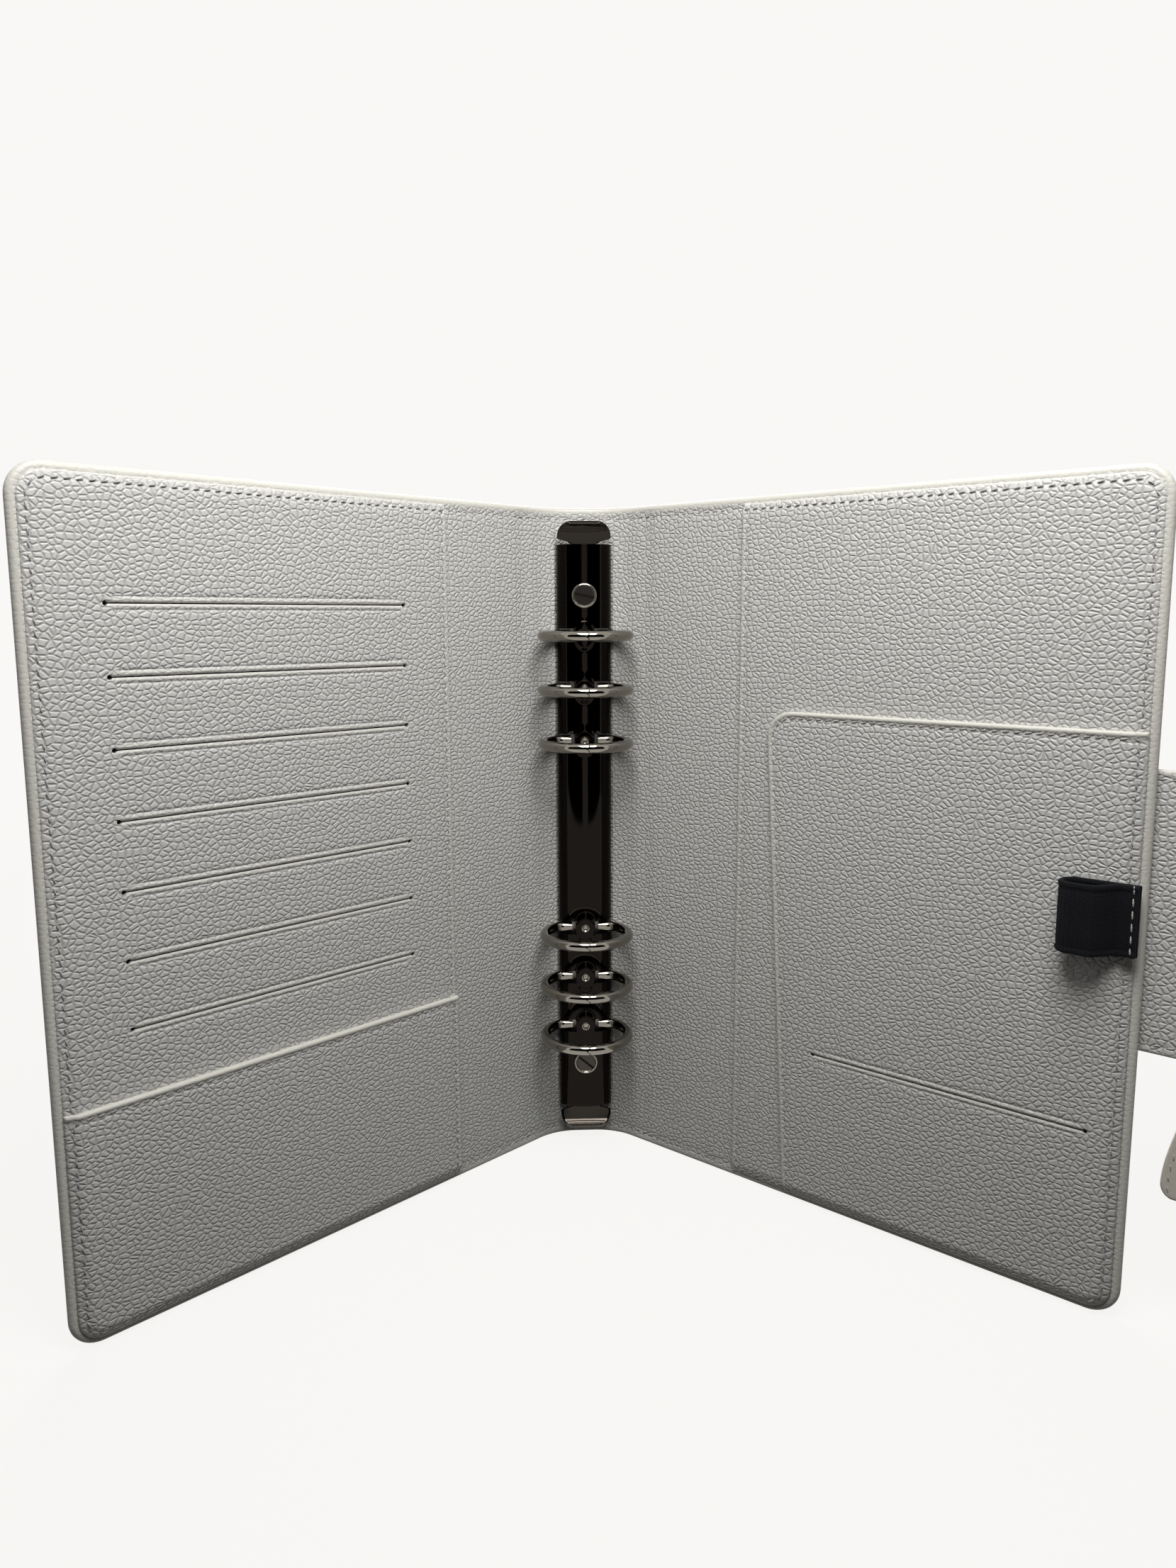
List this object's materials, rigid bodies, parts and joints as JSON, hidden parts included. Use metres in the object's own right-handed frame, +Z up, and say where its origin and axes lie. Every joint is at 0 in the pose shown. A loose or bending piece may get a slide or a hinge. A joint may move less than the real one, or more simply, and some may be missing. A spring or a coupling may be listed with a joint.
{
  "type": "ring binder",
  "caption": "Upright open ring binder in pebbled leather with a metal ring rail, card slits, pockets, a pen loop and a closure flap.",
  "frame": {"origin": "middle of the spine's thickness at its lower edge, on the surface the binder stands on", "axes": "+Z up along the spine, +X to the reader's right, +Y away from the reader, so the covers open towards -Y"},
  "size_m": [0.3703, 0.1996, 0.236],
  "materials": {
    "pebbled_leather": "pebbled pale grey coated leather, satin",
    "smooth_leather": "smooth cream leather, satin",
    "black_elastic": "ribbed woven elastic, matte",
    "black_nickel": "dark mirror plating",
    "polished_nickel": "bright mirror plating",
    "spring_steel": "plain cold rolled steel"
  },
  "bodies": {
    "spine": {"spine_shell": "pebbled_leather", "ring_rail": "black_nickel", "top_screw": "polished_nickel", "bottom_screw": "polished_nickel", "top_post": "polished_nickel", "bottom_post": "polished_nickel"},
    "front_cover": {"front_cover_shell": "pebbled_leather", "card_slot_panel": "pebbled_leather", "front_pocket": "pebbled_leather", "snap_socket": "polished_nickel"},
    "back_cover": {"back_cover_shell": "pebbled_leather", "back_pocket_panel": "pebbled_leather", "small_pocket": "pebbled_leather", "pen_loop": "black_elastic", "closure_flap_sewn_end": "pebbled_leather"},
    "flap_bridge": {"closure_flap_bridge": "pebbled_leather", "pull_tag": "smooth_leather"},
    "flap_tip": {"closure_flap_tip": "pebbled_leather", "snap_stud": "polished_nickel"},
    "left_rings": {"left_blade": "spring_steel", "left_half_ring_1": "polished_nickel", "left_half_ring_2": "polished_nickel", "left_half_ring_3": "polished_nickel", "left_half_ring_4": "polished_nickel", "left_half_ring_5": "polished_nickel", "left_half_ring_6": "polished_nickel"},
    "right_rings": {"right_blade": "spring_steel", "right_half_ring_1": "polished_nickel", "right_half_ring_2": "polished_nickel", "right_half_ring_3": "polished_nickel", "right_half_ring_4": "polished_nickel", "right_half_ring_5": "polished_nickel", "right_half_ring_6": "polished_nickel"},
    "top_lever": {"top_lever": "polished_nickel"},
    "bottom_lever": {"bottom_lever": "polished_nickel"}
  },
  "joints": [
    {"name": "front_cover_hinge", "type": "hinge", "parent": "spine", "child": "front_cover", "pos_m": [-0.0226, -0.00997, 0.118], "axis": [0, 0, 1], "range_deg": [-43.5, 46.5]},
    {"name": "back_cover_hinge", "type": "hinge", "parent": "spine", "child": "back_cover", "pos_m": [0.0226, -0.00997, 0.118], "axis": [0, 0, -1], "range_deg": [-43.5, 46.5]},
    {"name": "flap_root_fold", "type": "hinge", "parent": "back_cover", "child": "flap_bridge", "pos_m": [0.15046, -0.12758, 0.118], "axis": [0, 0, -1], "range_deg": [0, 90]},
    {"name": "flap_tip_fold", "type": "hinge", "parent": "flap_bridge", "child": "flap_tip", "pos_m": [0.1884, -0.16359, 0.118], "axis": [0, 0, -1], "range_deg": [0, 90]},
    {"name": "left_rings_open", "type": "hinge", "parent": "spine", "child": "left_rings", "pos_m": [-0.0086, -0.0024, 0.118], "axis": [0, 0, -1], "range_deg": [0, 12]},
    {"name": "right_rings_open", "type": "hinge", "parent": "spine", "child": "right_rings", "pos_m": [0.0086, -0.0024, 0.118], "axis": [0, 0, 1], "range_deg": [0, 12]},
    {"name": "top_lever_press", "type": "hinge", "parent": "spine", "child": "top_lever", "pos_m": [0, -0.0042, 0.221], "axis": [-1, 0, 0], "range_deg": [0, 16]},
    {"name": "bottom_lever_press", "type": "hinge", "parent": "spine", "child": "bottom_lever", "pos_m": [0, -0.0042, 0.015], "axis": [1, 0, 0], "range_deg": [0, 16]}
  ],
  "couplings": [
    {"joint": "right_rings_open", "follows": "left_rings_open", "ratio": 1},
    {"joint": "top_lever_press", "follows": "left_rings_open", "ratio": 1.3333},
    {"joint": "bottom_lever_press", "follows": "left_rings_open", "ratio": 1.3333}
  ]
}
